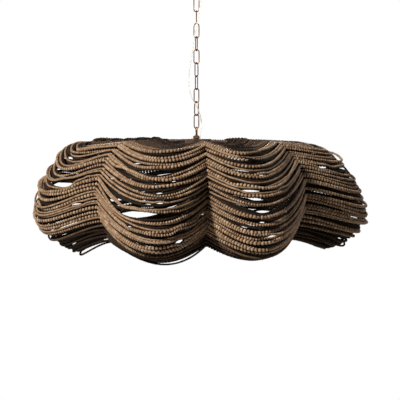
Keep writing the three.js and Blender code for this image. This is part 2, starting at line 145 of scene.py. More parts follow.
def soft_lamp(name, place, side, power, colour):
    """A square area lamp that stands at a place and looks at the middle of the shade."""
    light = bpy.data.lights.new(name, "AREA")
    light.size = side
    light.energy = power
    light.color = colour
    lamp = bpy.data.objects.new(name, light)
    aim = np.array([0, 0, shade_middle]) - np.array(place)
    yaw = math.atan2(aim[1], aim[0]) - math.pi / 2
    pitch = math.atan2(aim[2], math.hypot(aim[0], aim[1])) + math.pi / 2
    lamp.location = place
    lamp.rotation_euler = (pitch, 0, yaw)
    bpy.context.scene.collection.objects.link(lamp)
    return lamp


bpy.context.scene.world = lit_sky()
soft_lamp("window_front_left", (-2.9, -2.6, 1.4), 0.6, 400, (1.0, 0.96, 0.89))
soft_lamp("fill_behind", (0.3, 3.6, 0.4), 1.6, 135, (1.0, 0.95, 0.9))
soft_lamp("rim_back_right", (2.8, 0.9, 0.6), 1.0, 38, (1.0, 0.9, 0.8))
print("sky", sky_strength, "and three soft lamps")

floor_corners = ((-1, -1), (1, -1), (1, 1), (-1, 1))
floor_points = [(x * floor_half, y * floor_half, floor_height) for x, y in floor_corners]
floor_mesh = bpy.data.meshes.new("studio_floor")
floor_mesh.from_pydata(floor_points, [], [(0, 1, 2, 3)])
studio_floor = bpy.data.objects.new("studio_floor", floor_mesh)
bpy.context.scene.collection.objects.link(studio_floor)
floor_finish = bpy.data.materials.new("pale_floor")
floor_finish.use_nodes = True
floor_finish.node_tree.nodes["Principled BSDF"].inputs["Base Color"].default_value = floor_colour
floor_finish.node_tree.nodes["Principled BSDF"].inputs["Roughness"].default_value = 0.9
floor_mesh.materials.append(floor_finish)

# %% [markdown]
# # From arrays to a mesh
# Every new piece is first worked out as arrays: all its points, and for each face the numbers of
# its corners. Blender can take a list of tuples, but a bead string has a hundred thousand
# corners, and whole arrays go in at once. The faces are given as one table of four-cornered
# faces and one of three-cornered ones.

# %% Putting arrays into a mesh
def new_piece(name, points, quads, triangles, finishes, shares=None, face_finish=None):
    """An object at the origin from points (n, 3), quads (m, 4), triangles (k, 3) and finishes.

    shares holds named values, one for each point, which the finishes read as attributes.
    """
    mesh = bpy.data.meshes.new(name)
    mesh.vertices.add(len(points))
    mesh.vertices.foreach_set("co", np.asarray(points, np.float32).ravel())
    corners = np.concatenate([np.ravel(quads), np.ravel(triangles)]).astype(np.int32)
    sizes = np.concatenate([np.full(len(quads), 4), np.full(len(triangles), 3)]).astype(np.int32)
    mesh.loops.add(len(corners))
    mesh.loops.foreach_set("vertex_index", corners)
    mesh.polygons.add(len(sizes))
    mesh.polygons.foreach_set("loop_start", (np.cumsum(sizes) - sizes).astype(np.int32))
    mesh.polygons.foreach_set("use_smooth", np.ones(len(sizes), bool))
    for finish in finishes:
        mesh.materials.append(finish)
    if face_finish is not None:
        mesh.polygons.foreach_set("material_index", np.asarray(face_finish, np.int32))
    mesh.update(calc_edges=True)
    for share, values in (shares or {}).items():
        attribute = mesh.attributes.new(share, "FLOAT", "POINT")
        attribute.data.foreach_set("value", np.asarray(values, np.float32))
    piece = bpy.data.objects.new(name, mesh)
    bpy.context.scene.collection.objects.link(piece)
    return piece


def unit(vectors):
    """Each vector divided by its own length."""
    return vectors / np.linalg.norm(vectors, axis=-1, keepdims=True)


def side_vectors(line, upwards=(0, 0, 1)):
    """For each point of a line, two vectors square to it and to each other.

    The line's direction is the difference of its neighbours. The first vector is the direction
    crossed with upwards, and the second is the direction crossed with the first.
    """
    along = unit(np.gradient(line, axis=0))
    first = unit(np.cross(along, np.asarray(upwards, float)))
    return along, first, np.cross(along, first)


def at_lengths(line, lengths):
    """The points of a line at given distances along it, by straight steps between its points."""
    steps = np.linalg.norm(np.diff(line, axis=0), axis=1)
    reach = np.concatenate([[0], np.cumsum(steps)])
    return np.stack([np.interp(lengths, reach, line[:, k]) for k in range(3)], axis=1)


def line_length(line):
    """The sum of the distances between neighbouring points."""
    return float(np.linalg.norm(np.diff(line, axis=0), axis=1).sum())


print("mesh tools ready")

# %% [markdown]
# # A profile carried along a line
# Cords, wires, links and ribs are all the same shape at heart: a circle carried along a line.
# Blender's curves can do this with a bevel, but here the circle's radius changes along the way,
# and the points are needed as arrays anyway. So the tube is built ring by ring as one table.

# %% Tubes
def tube(line, radii, sides, closed=False, upwards=(0, 0, 1)):
    """Points and faces of a tube: at each point of the line, a ring of the given radius.

    A ring's point is the line's point + radius * (cos a * first side + sin a * second side), for
    angles a evenly round the circle. A closed tube's last ring joins its first, and an open one
    has a fan to a middle point at each end.
    """
    line = np.asarray(line, float)
    radii = np.broadcast_to(np.asarray(radii, float), (len(line),))
    if closed:
        looped = np.concatenate([line[-2:], line, line[:2]])
        along, first, second = (v[2:-2] for v in side_vectors(looped, upwards))
    else:
        along, first, second = side_vectors(line, upwards)
    angle = np.linspace(0, 2 * np.pi, sides, endpoint=False)
    around = np.cos(angle)[None, :, None] * first[:, None] + np.sin(angle)[None, :, None] * second[:, None]
    points = (line[:, None] + radii[:, None, None] * around).reshape(-1, 3)
    rings = len(line)
    ring = np.arange(rings if closed else rings - 1)[:, None]
    side = np.arange(sides)[None, :]
    next_ring, next_side = (ring + 1) % rings, (side + 1) % sides
    quads = np.stack([
        ring * sides + side, ring * sides + next_side,
        next_ring * sides + next_side, next_ring * sides + side,
    ], axis=-1).reshape(-1, 4)
    if closed:
        return points, quads, np.zeros((0, 3), int)
    middle = len(points)
    points = np.concatenate([points, line[[0, -1]]])
    near, after = np.arange(sides), (np.arange(sides) + 1) % sides
    first_cap = np.stack([np.full(sides, middle), after, near], axis=1)
    last = (rings - 1) * sides
    last_cap = np.stack([np.full(sides, middle + 1), last + near, last + after], axis=1)
    return points, quads, np.concatenate([first_cap, last_cap])


def joined(parts):
    """Several (points, quads, triangles) as one, each part's corner numbers moved past the last's."""
    points, quads, triangles, start = [], [], [], 0
    for part_points, part_quads, part_triangles in parts:
        points.append(part_points)
        quads.append(np.asarray(part_quads, int).reshape(-1, 4) + start)
        triangles.append(np.asarray(part_triangles, int).reshape(-1, 3) + start)
        start += len(part_points)
    return np.concatenate(points), np.concatenate(quads), np.concatenate(triangles)


def smooth_route(points, steps):
    """A smooth line through points, with a number of steps between each two of them.

    It is a Catmull-Rom curve whose pace is the square root of the distance between the points,
    so that it doesn't swing out where they lie close together. The points past both ends are
    mirrored.
    """
    points = np.asarray(points, float)
    padded = np.concatenate([[2 * points[0] - points[1]], points, [2 * points[-1] - points[-2]]])
    pace = np.sqrt(np.linalg.norm(np.diff(padded, axis=0), axis=1))[:, None]
    before, start, end, after = padded[:-3], padded[1:-2], padded[2:-1], padded[3:]
    pace_0, pace_1, pace_2 = pace[:-2], pace[1:-1], pace[2:]
    leave = ((start - before) / pace_0 - (end - before) / (pace_0 + pace_1) + (end - start) / pace_1) * pace_1
    arrive = ((end - start) / pace_1 - (after - start) / (pace_1 + pace_2) + (after - end) / pace_2) * pace_1
    share = np.linspace(0, 1, steps, endpoint=False)[None, :, None]
    start, end, leave, arrive = (v[:, None] for v in (start, end, leave, arrive))
    curve = (
        start + leave * share
        + (3 * (end - start) - 2 * leave - arrive) * share ** 2
        + (2 * (start - end) + leave + arrive) * share ** 3
    )
    return np.concatenate([curve.reshape(-1, 3), points[-1:]])


print("tube of 3 rings and 4 sides:", len(tube(np.eye(3), 0.1, 4)[1]), "side faces")

# %% [markdown]
# # Finishes
# A finish is a small tree of nodes. Noise in the object's own coordinates gives patches of
# colour, and the same kind of noise, finer, gives roughness and bumps. The object coordinates
# stay with the piece when it moves, so a stain doesn't slide. Values that are the same all over
# are set on the shader itself.

# %% A helper for finishes
class Finish:
    """A new material with its shader, and short calls to add nodes to it."""

    def __init__(self, name, **shader):
        self.material = bpy.data.materials.new(name)
        self.material.use_nodes = True
        self.tree = self.material.node_tree
        self.shader = self.tree.nodes["Principled BSDF"]
        for socket, value in shader.items():
            self.shader.inputs[socket.replace("_", " ")].default_value = value
        self.place = self.tree.nodes.new("ShaderNodeTexCoord").outputs["Object"]

    def put(self, value, socket):
        """Sets a socket to a number or colour, or joins another node's output to it."""
        if isinstance(value, bpy.types.NodeSocket):
            self.tree.links.new(value, socket)
        else:
            socket.default_value = value

    def noise(self, scale, detail=3.0, roughness=0.55):
        """Noise with features of about 1 / scale metres. Its mean is 0.5."""
        node = self.tree.nodes.new("ShaderNodeTexNoise")
        node.inputs["Scale"].default_value = scale
        node.inputs["Detail"].default_value = detail
        node.inputs["Roughness"].default_value = roughness
        self.tree.links.new(self.place, node.inputs["Vector"])
        return node.outputs["Fac"]

    def attribute(self, name):
        """A value that the piece carries for each of its points."""
        node = self.tree.nodes.new("ShaderNodeAttribute")
        node.attribute_name = name
        return node.outputs["Fac"]

    def steps(self, value, stops):
        """A colour ramp: stops are (place, colour) pairs, colours as three linear values."""
        node = self.tree.nodes.new("ShaderNodeValToRGB")
        ramp = node.color_ramp
        while len(ramp.elements) < len(stops):
            ramp.elements.new(1)
        for element, (where, colour) in zip(ramp.elements, stops):
            element.position = where
            element.color = (*colour, 1)
        self.tree.links.new(value, node.inputs["Fac"])
        return node.outputs["Color"]

    def mixed(self, share, first, second, blend="MIX"):
        """One colour turned into another by a share from 0 to 1."""
        node = self.tree.nodes.new("ShaderNodeMix")
        node.data_type = "RGBA"
        node.blend_type = blend
        self.put(share, node.inputs[0])
        self.put(first, node.inputs[6])
        self.put(second, node.inputs[7])
        return node.outputs[2]

    def span(self, value, low, high, new_low, new_high):
        """A value from low to high carried over to new_low to new_high, and held at both ends."""
        node = self.tree.nodes.new("ShaderNodeMapRange")
        ends = {"From Min": low, "From Max": high, "To Min": new_low, "To Max": new_high}
        for socket, number in ends.items():
            node.inputs[socket].default_value = number
        self.tree.links.new(value, node.inputs["Value"])
        return node.outputs["Result"]

    def colour(self, value):
        """The surface's own colour, one for all or from another node."""
        self.put(value, self.shader.inputs["Base Color"])

    def roughness(self, value):
        """How matte the surface is, one number for all or from another node."""
        self.put(value, self.shader.inputs["Roughness"])

    def bump(self, height, depth):
        """Bumps of a depth in metres where the height goes from 0 to 1."""
        node = self.tree.nodes.new("ShaderNodeBump")
        node.inputs["Strength"].default_value = 1
        node.inputs["Distance"].default_value = depth
        self.tree.links.new(height, node.inputs["Height"])
        self.tree.links.new(node.outputs["Normal"], self.shader.inputs["Normal"])


print("finish helper ready")

# %% [markdown]
# # The lamp cord
# A clear cord brings the current down beside the chain: two twisted copper wires in a sheath of
# clear vinyl. It bends wherever the chain does. It is cut at the middle of each chain link, so
# that each stretch spans the one joint between its two cuts, and where one stretch ends, the next
# one starts.

# %% The cord's route
cord_radius = 0.002
cord_sides = 12
wire_radius = 0.00055
wire_reach = 0.0008  # from the cord's middle to each wire's middle
wire_twist = 0.028  # length of cord in which the wires go once round
link_names = [f"chain_link_{number:02d}" for number in range(1, 12)]
link_bodies = [f"link_{number:02d}" for number in range(1, 12)]
link_middles = [(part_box(name)[0][2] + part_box(name)[1][2]) / 2 for name in link_names]
hub_loop_low, hub_loop_high = (corner[2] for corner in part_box("hub_loop"))
loop_length = 0.030
hub_loop_middle = hub_loop_high - loop_length / 2
hub_x, hub_y = 0.011, -0.011
plate_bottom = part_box("hub_plate")[0][2]
cluster_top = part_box("socket_cluster")[1][2]
cord_points = [
    (0.0247, 0, -0.011), (0.020, 0, -0.0116), (0.015, 0, -0.015), (0.0095, 0, -0.021),
    (0.0045, 0, -0.027), (0.001, 0, -0.036), (0, 0, -0.048), (0, -0.0006, -0.062),
    (0.003, -0.006, -0.073), (0.008, -0.008, -0.090), (0.012, -0.008, -0.112),
    (0.012, -0.009, -0.140), (0.008, -0.012, -0.165), (0.003, -0.014, -0.190),
    (-0.003, -0.0145, -0.220), (-0.009, -0.014, -0.250), (-0.014, -0.013, -0.285),
    (-0.019, -0.012, -0.318), (-0.024, -0.011, -0.350), (-0.026, -0.010, -0.382),
    (-0.024, -0.011, -0.412), (-0.016, -0.013, -0.437), (-0.005, -0.0145, -0.457),
    (0.005, -0.013, -0.477), (0.012, -0.010, -0.497), (0.015, -0.005, -0.517),
    (0.0145, -0.009, -0.532), (hub_x, hub_y, top_level + 0.003), (hub_x, hub_y, plate_bottom - 0.004),
    (hub_x, hub_y, plate_bottom - 0.040), (hub_x, hub_y, cluster_top + 0.030),
    (hub_x, hub_y, cluster_top + 0.0003),
]
cord_line = smooth_route(cord_points, 8)
print("cord", round(line_length(cord_line), 3), "m long in", len(cord_line), "points")

# %% The cord's two finishes
clear_vinyl = Finish("clear_vinyl", Alpha=0.34, IOR=1.5, Specular_IOR_Level=0.6)
clear_vinyl.colour(clear_vinyl.mixed(
    clear_vinyl.noise(60), (0.68, 0.70, 0.64, 1), (0.80, 0.81, 0.76, 1)))
clear_vinyl.roughness(clear_vinyl.span(clear_vinyl.noise(240), 0.3, 0.7, 0.12, 0.28))

tinned_wire = Finish("tinned_copper_wire", Metallic=1.0)
tinned_wire.colour(tinned_wire.mixed(
    tinned_wire.noise(300), (0.50, 0.47, 0.41, 1), (0.72, 0.70, 0.65, 1)))
tinned_wire.roughness(tinned_wire.span(tinned_wire.noise(700), 0.3, 0.7, 0.25, 0.45))
print("finishes:", clear_vinyl.material.name, tinned_wire.material.name)

# %% The stretches, one between each two cuts
canopy_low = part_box("canopy")[0][2]
cut_heights = [canopy_low - 0.017, *link_middles, hub_loop_middle, hub_loop_low - 0.002]


def cord_with_wires(line, start_length):
    """A sheath along the line and two wires in it, which wind round its middle.

    A wire's point is the line's point + reach * (cos a * first side + sin a * second side),
    where a grows by a full turn for each length of twist. Returns points and faces, and for each
    face 0 for the sheath or 1 for a wire.
    """
    sheath = tube(line, cord_radius, cord_sides, upwards=(1, 0.3, 0.05))
    fine = at_lengths(line, np.linspace(0, line_length(line), 6 * len(line)))
    _, first, second = side_vectors(fine, upwards=(1, 0.3, 0.05))
    travelled = start_length + np.linspace(0, line_length(line), len(fine))
    parts = [sheath]
    for half in (0, 0.5):
        angle = 2 * np.pi * (travelled / wire_twist + half)[:, None]
        wire = fine + wire_reach * (np.cos(angle) * first + np.sin(angle) * second)
        parts.append(tube(wire, wire_radius, 6, upwards=(1, 0.3, 0.05)))
    points, quads, triangles = joined(parts)
    sheath_faces, wire_faces = len(sheath[1]), len(quads) - len(sheath[1])
    sheath_caps, wire_caps = len(sheath[2]), len(triangles) - len(sheath[2])
    finish = np.repeat([0, 1, 0, 1], [sheath_faces, wire_faces, sheath_caps, wire_caps])
    return points, quads, triangles, finish


def cord_stretches():
    """Cuts the route at the cut heights, and makes a piece of each stretch."""
    heights = cord_line[:, 2]
    reach = np.concatenate([[0], np.cumsum(np.linalg.norm(np.diff(cord_line, axis=0), axis=1))])
    cuts = [float(np.interp(-z, -heights, reach)) for z in cut_heights[1:-1]]
    ends = [0.0, *cuts, reach[-1]]
    for k, (start, end) in enumerate(zip(ends[:-1], ends[1:])):
        inside = reach[(reach > start + 1e-4) & (reach < end - 1e-4)]
        line = at_lengths(cord_line, np.concatenate([[start], inside, [end]]))
        points, quads, triangles, finish = cord_with_wires(line, start)
        piece = new_piece(f"lamp_cord_{k:02d}", points, quads, triangles,
                          [clear_vinyl.material, tinned_wire.material], face_finish=finish)
        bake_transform(piece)
        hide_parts("lamp_cord")
    return len(ends) - 1


print(cord_stretches(), "stretches of cord")

# %% [markdown]
# # Antique copper
# The chain and its fittings are copper that was darkened and then rubbed: brown in the hollows,
# and bright where hands and other links have rubbed it. Real wear sits on edges. On round wire
# there are no edges, so two noises do it: a broad one for the patches where the patina is thin,
# and a fine one that breaks up their borders.

# %% The copper finish
def antique_copper_finish(name, dark, warm, bright):
    """Metal in three tones, by a broad noise that a fine one breaks up."""
    copper = Finish(name, Metallic=1.0)
    patches = copper.mixed(0.35, copper.noise(55, 4), copper.noise(420, 2))
    copper.colour(copper.steps(patches, [(0.36, dark), (0.52, warm), (0.66, bright)]))
    copper.roughness(copper.span(copper.noise(160), 0.3, 0.7, 0.52, 0.3))
    copper.bump(copper.noise(600, 2), 0.00008)
    return copper.material


antique_copper = antique_copper_finish(
    "antique_copper", (0.040, 0.017, 0.008), (0.115, 0.052, 0.026), (0.27, 0.150, 0.085))
print("finish:", antique_copper.name)

# %% [markdown]
# # The chain links
# Each link is one length of wire bent into an oval and soldered shut. A torus stretched by hand
# would have wire that gets thin at the bends. Here the wire's middle line is worked out as two
# straight sides and two half circles, and the tube runs along it with a small swelling where
# the ends are soldered.

# %% Links
link_turns = (90, 0, 86, 8, 66, -12, 50, 110, 20, -48, 22)
link_wire, link_width, link_length = 0.0035, 0.020, 0.0485
seam_half, seam_swell = 0.0014, 0.13  # half the solder's length, and how much it thickens the wire


def oval_line(width, length, wire, steps):
    """The middle line of an upright oval of wire, closed, evenly spaced, in the plane of X and Z.

    It goes up one straight side, over a half circle, down the other side and under a half circle.
    """
    radius = (width - wire) / 2
    straight = length - wire - 2 * radius
    half = straight + math.pi * radius
    walked = np.linspace(0, 2 * half, steps, endpoint=False)
    second_half = walked >= half
    step = np.where(second_half, walked - half, walked)
    on_side = step <= straight
    angle = np.where(on_side, 0, (step - straight) / radius)
    x = radius * np.cos(angle)
    z = np.where(on_side, step - straight / 2, straight / 2 + radius * np.sin(angle))
    sign = np.where(second_half, -1, 1)
    return np.stack([x * sign, np.zeros(steps), z * sign], axis=1), walked


def turned_about_z(points, degrees):
    """Points turned about the vertical axis, anticlockwise seen from above."""
    a = math.radians(degrees)
    turn = np.array([[math.cos(a), math.sin(a), 0], [-math.sin(a), math.cos(a), 0], [0, 0, 1]])
    return np.asarray(points) @ turn


def wire_oval(width, length, wire, steps=72, sides=14):
    """An oval ring of wire with a soldered seam in the middle of one side."""
    line, walked = oval_line(width, length, wire, steps)
    straight = length - wire - (width - wire)
    seam = np.exp(-((walked - straight / 2) / seam_half) ** 2)
    return tube(line, wire / 2 * (1 + seam_swell * seam), sides, closed=True, upwards=(0, 1, 0))


for name, body, turn, middle in zip(link_names, link_bodies, link_turns, link_middles):
    points, quads, triangles = wire_oval(link_width, link_length, link_wire)
    points = turned_about_z(points, turn) + (0, 0, middle)
    link = new_piece(f"{name}_wire", points, quads, triangles, [antique_copper])
    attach(link, body)
    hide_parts(name)
print(len(link_names), "links")

# %% [markdown]
# # The shape that the strands hang in
# The frame's outline is a table, one row for each of twelve heights from the hub down to the
# bottom ring: where the ribs are, and how far the lobes' middles reach past them. A smooth curve
# through the table gives any height between. A strand is tied to two neighbouring ribs and hangs
# between them as a parabola, outwards and down, and that one formula gives the lobes their
# swell, the sharp valleys at the ribs and the sagging lines.

# %% The outline
lobe_count = 6
lobe_turn = 2 * math.pi / lobe_count
rib_widest, lobe_overhang, rib_drop, lobe_drop = 0.359, 0.182, 0.321, 0.363
rib_radius = 0.004
lobe_names = ("front_left", "left", "back_left", "back_right", "right", "front_right")
lobe_reach_shares = (1, 0.942, 1, 1, 1.010, 1)
lobe_leans = (25, 0, 0, 0, 0, -28)  # degrees that each lobe hangs to one side
lobe_roundness = (2.0, 2.35, 2.0, 2.0, 2.5, 2.0)  # 2 hangs in a parabola, more is fuller
lobe_softness = (1.0, 1.6, 1.2, 1.2, 1.4, 1.0)  # 1 leaves a rib steeply, more leaves it level
lobe_sags = (0.022, -0.020, 0.010, 0.010, -0.008, 0.022)  # how much lower the loose strands hang
lobe_tips = (0, 0.075, 0, 0, -0.030, 0)  # how far they are tipped down on the side of the first rib
shoulder_sags = (0.010, 0, 0, 0, 0, 0.010)  # how much lower the shoulder's strands hang
shoulder_humps = (0, 0.036, 0, 0, 0.020, 0)  # how far they stand up on the far side of a side lobe
outline_shares = np.array([  # rib radius, rib depth, lobe overhang, lobe depth
    (0.162, 0.043, 0.035, 0.036), (0.350, 0.049, 0.207, 0.050), (0.553, 0.061, 0.442, 0.068),
    (0.741, 0.082, 0.649, 0.092), (0.868, 0.189, 0.741, 0.204), (0.941, 0.299, 0.830, 0.331),
    (0.987, 0.418, 0.917, 0.468), (1.000, 0.543, 0.987, 0.612), (0.987, 0.665, 1.028, 0.733),
    (0.949, 0.784, 0.987, 0.840), (0.903, 0.896, 0.782, 0.931), (0.857, 1.000, 0.453, 1.000),
])


def at_rows(column, rows):
    """A column of the outline table read at any rows, by a smooth curve through its values.

    Between two values it is the cubic whose slope at each is half the difference of that value's
    two neighbours.
    """
    rows = np.clip(np.asarray(rows, float), 0, len(column) - 1)
    i = np.minimum(rows.astype(int), len(column) - 2)
    w = rows - i
    before, start = column[np.maximum(i - 1, 0)], column[i]
    end, after = column[i + 1], column[np.minimum(i + 2, len(column) - 1)]
    leave, arrive = (end - before) / 2, (after - start) / 2
    return (
        start + leave * w + (3 * (end - start) - 2 * leave - arrive) * w ** 2
        + (2 * (start - end) + leave + arrive) * w ** 3
    )


def rib_place(rows):
    """A rib's distance from the axis and its height at any rows."""
    radius_share, depth_share = (at_rows(outline_shares[:, column], rows) for column in (0, 1))
    return radius_share * rib_widest, top_level - depth_share * rib_drop


def over_the_rib(rows, lift):
    """Distance from the axis and height, lift metres out from the rib, square to it."""
    step = 0.01
    rows = np.clip(rows, step, len(outline_shares) - 1 - step)
    radius, height = rib_place(rows)
    radius_after, height_after = rib_place(rows + step)
    radius_before, height_before = rib_place(rows - step)
    out, up = height_before - height_after, radius_after - radius_before
    size = np.hypot(out, up)
    return radius + lift * out / size, height + lift * up / size


def lobe_place(rows):
    """Distance from the axis and height of a lobe's middle at any rows."""
    rib_share, overhang_share, depth_share = (
        at_rows(outline_shares[:, column], rows) for column in (0, 2, 3))
    radius = rib_share * rib_widest + overhang_share * lobe_overhang
    return radius, top_level - depth_share * lobe_drop


def loose_share(rows):
    """How loosely strands hang at any rows: 0 on the taut shoulder and at the bottom, 1 between.

    It is the product of two smooth steps, 3 w squared - 2 w cubed each.
    """
    onset = np.clip((rows - 3.0) / 1.2, 0, 1)
    end = np.clip((10.8 - rows) / 2.4, 0, 1)
    return onset ** 2 * (3 - 2 * onset) * end ** 2 * (3 - 2 * end)


def strand_line(across, rows, lobe, lift, out=0.0, down=0.0):
    """A strand's middle line. across runs from -1 at one rib to 1 at the next one.

    With swell = 1 - the size of across to the power of the lobe's roundness, the strand is
    the even way from rib to rib + swell * (the lobe's middle - the middle between the ribs), and
    the lobe's lean turns that second part to one side. For the height, swell is raised to the
    power of the lobe's softness. Loose strands also sag further and are
    tipped, by their loose share. The shoulder's strands sag by a value of their own, and stand up
    in a hump on the far side of a side lobe. out and down move the strand's middle further.
    """
    end_radius, end_height = over_the_rib(rows, lift)
    middle_radius, middle_height = lobe_place(rows)
    end_out = end_radius * math.cos(lobe_turn / 2)
    end_side = end_radius * math.sin(lobe_turn / 2)
    swell = 1 - np.abs(across) ** lobe_roundness[lobe]
    reach = middle_radius * lobe_reach_shares[lobe] + out - end_out
    lean = math.radians(lobe_leans[lobe])
    sag = down + (lobe_sags[lobe] + lobe_tips[lobe] * across) * loose_share(rows)
    hump = shoulder_humps[lobe] * np.clip(-across if lobe < 3 else across, 0, 1)
    sag = sag + (shoulder_sags[lobe] - hump) * np.clip((4.8 - rows) / 1.2, 0, 1)
    line = np.stack([
        end_out + reach * math.cos(lean) * swell,
        end_side * across + reach * math.sin(lean) * swell,
        end_height + (middle_height - sag - end_height) * swell ** lobe_softness[lobe],
    ], axis=1)
    return turned_about_z(line, -90 - math.degrees(lobe_turn) * (lobe + 0.5))


widest = strand_line(np.linspace(-1, 1, 201), np.full(201, 7.0), 0, 0.009)
print("a strand at the widest row is", round(line_length(widest), 3), "m long")

# %% [markdown]
# # Wooden beads
# Three kinds of bead are mixed, one kind to a strand: large round ones, medium ones, and thin
# discs that read as a ribbed cord. There are many thousands, so each one has only a few dozen
# faces, and smooth shading rounds them off. A bead could be a sphere that is copied along the
# strand. Here all the beads of a strand are one table: every bead's middle, direction and size
# times the points of one unit bead.

# %% One strand of beads
bead_kinds = {  # diameter, length of strand that a bead takes, sides, ring heights, ring radii
    "large": (0.0101, 0.0108, 10, (-0.80, -0.34, 0.34, 0.80), (0.62, 0.98, 0.98, 0.62)),
    "medium": (0.0080, 0.0084, 8, (-0.66, 0.0, 0.66), (0.72, 1.0, 0.72)),
}
disc_kinds = {  # diameter, length, and the waist's share of the diameter
    "disc": (0.0069, 0.0035, 0.68), "shaded": (0.0088, 0.0098, 0.84),
}
disc_sides = 6
bead_tip, bead_spread = 0.07, 0.035  # how far beads tip on the string, and differ in diameter


def round_beads(line, kind, rng):
    """All the beads of one strand.

    For each point it also gives its bead's own share and how near to the bore it lies.

    A point is its bead's middle + half the bead's length * height along the strand + the bead's
    radius * ring radius * (cos a * first side + sin a * second side). Each bead ends in two points
    on the strand, at heights -1 and 1.
    """
    diameter, pitch, sides, heights, ring_radii = bead_kinds[kind]
    length = line_length(line)
    count = max(2, int(round(length / pitch)))
    pitch = length / count
    middles = at_lengths(line, (np.arange(count) + 0.5) * pitch)
    along, first, second = side_vectors(middles)
    first_tip = rng.normal(0, bead_tip, (count, 1))
    second_tip = rng.normal(0, bead_tip, (count, 1))
    tipped = unit(along + first_tip * first + second_tip * second)
    radius = diameter / 2 * rng.normal(1, bead_spread, (count, 1, 1))
    half = pitch / 2 * rng.uniform(0.93, 1.0, (count, 1, 1))
    roll = rng.uniform(0, 2 * np.pi, count)[:, None]
    angle = roll + np.linspace(0, 2 * np.pi, sides, endpoint=False)[None, :]
    around = np.cos(angle)[..., None] * first[:, None] + np.sin(angle)[..., None] * second[:, None]
    rings = [
        middles[:, None] + half * h * tipped[:, None] + radius * r * around
        for h, r in zip(heights, ring_radii)
    ]
    low = middles[:, None] - half * tipped[:, None]
    high = middles[:, None] + half * tipped[:, None]
    points = np.concatenate([low, *rings, high], axis=1)
    per_bead = points.shape[1]
    j, after = np.arange(sides), (np.arange(sides) + 1) % sides
    ring_start = 1 + sides * np.arange(len(heights))
    quads = np.concatenate([
        np.stack([a + j, a + after, b + after, b + j], axis=1)
        for a, b in zip(ring_start[:-1], ring_start[1:])
    ])
    last = ring_start[-1]
    fans = np.concatenate([
        np.stack([np.zeros(sides, int), 1 + after, 1 + j], axis=1),
        np.stack([np.full(sides, per_bead - 1), last + j, last + after], axis=1),
    ])
    starts = per_bead * np.arange(count)[:, None, None]
    own = np.repeat(rng.uniform(0, 1, count), per_bead)
    bore = np.tile(np.concatenate([[1], np.repeat(np.abs(heights), sides), [1]]), count)
    quads, fans = (quads + starts).reshape(-1, 4), (fans + starts).reshape(-1, 3)
    return points.reshape(-1, 3), quads, fans, own, bore


def disc_beads(line, kind, rng):
    """A strand of thin discs as one tube, whose radius goes in and out once for each disc."""
    diameter, pitch, waist = disc_kinds[kind]
    length = line_length(line)
    count = max(4, int(round(length / pitch)))
    places = np.arange(2 * count + 1) * length / (2 * count)
    crest = np.arange(2 * count + 1) % 2
    radii = diameter / 2 * np.where(crest, rng.normal(1, 0.05, len(places)), waist)
    points, quads, triangles = tube(at_lengths(line, places), radii, disc_sides)
    disc = np.repeat(rng.uniform(0, 1, count + 1), 2)[:len(places)]
    own = np.concatenate([np.repeat(disc, disc_sides), [0.5, 0.5]])
    bore = np.concatenate([np.repeat(1.0 - crest, disc_sides), [1, 1]])
    return points, quads, triangles, own, bore


for kind in bead_kinds:
    faces = round_beads(widest, kind, np.random.default_rng(1))
    print(kind, "strand:", len(faces[1]) + len(faces[2]), "faces")
for kind in disc_kinds:
    print(kind, "strand:", len(disc_beads(widest, kind, np.random.default_rng(1))[1]), "faces")

# %% [markdown]
# # Oiled taupe wood
# The beads are a pale wood, stained taupe and oiled, so they shine only a little. No two beads
# took the stain alike, and the end grain round each bore drank more of it. The piece tells the
# finish which bead a point belongs to and how near to the bore it is, so one finish gives every
# bead its own tone and its dark ends. These ends are darker end grain and also painted shade, near
# black, in the creases between the beads. Noise adds the grain and the blotches. Shade is painted
# into the strands' tones too: the strands deep inside are near black, those at the hub and the
# underside are darker, and the two lobes that face the lamp are duller. The shine has one strength
# for all beads, and the strands deep in the shade are dull because they are rougher.

# %% The wood finish
wood = Finish("oiled_taupe_wood", Specular_IOR_Level=0.12)
bead_tone = wood.steps(wood.attribute("bead_share"), [
    (0.0, (0.160, 0.095, 0.053)), (0.3, (0.238, 0.149, 0.090)),
    (0.7, (0.285, 0.190, 0.120)), (1.0, (0.350, 0.254, 0.178)),
])
# Each strand's tone multiplies its beads' colour. The lowest stops are painted shade: near black for the
# strands deep inside, and dark for those at the hub and the underside.
strand_tone_and_shade = wood.steps(wood.attribute("strand_share"), [
    (0.0, (0.022, 0.018, 0.015)), (0.1, (0.080, 0.069, 0.060)), (0.3, (0.72, 0.70, 0.68)),
    (0.65, (0.92, 0.92, 0.91)), (1.0, (1.04, 1.04, 1.05))])
grain = wood.span(wood.noise(900, 3, 0.6), 0.35, 0.65, 0.0, 0.38)
grained = wood.mixed(grain, bead_tone, (0.115, 0.068, 0.040, 1))
stained = wood.mixed(1.0, grained, strand_tone_and_shade, "MULTIPLY")
# Near the bore the colour goes almost black: partly darker end grain, and partly painted shade in the creases
# between the beads.
bore = wood.span(wood.attribute("bore_share"), 0.62, 1.0, 0.0, 0.92)
wood.colour(wood.mixed(bore, stained, (0.010, 0.006, 0.004, 1)))
dryness = wood.span(wood.attribute("strand_share"), 0.1, 0.3, 0.95, 0.0)
oil = wood.span(wood.noise(500), 0.3, 0.7, 0.44, 0.68)
wood.roughness(wood.mixed(dryness, oil, (1, 1, 1, 1)))
wood.bump(wood.noise(1100, 2), 0.00012)
print("finish:", wood.material.name)

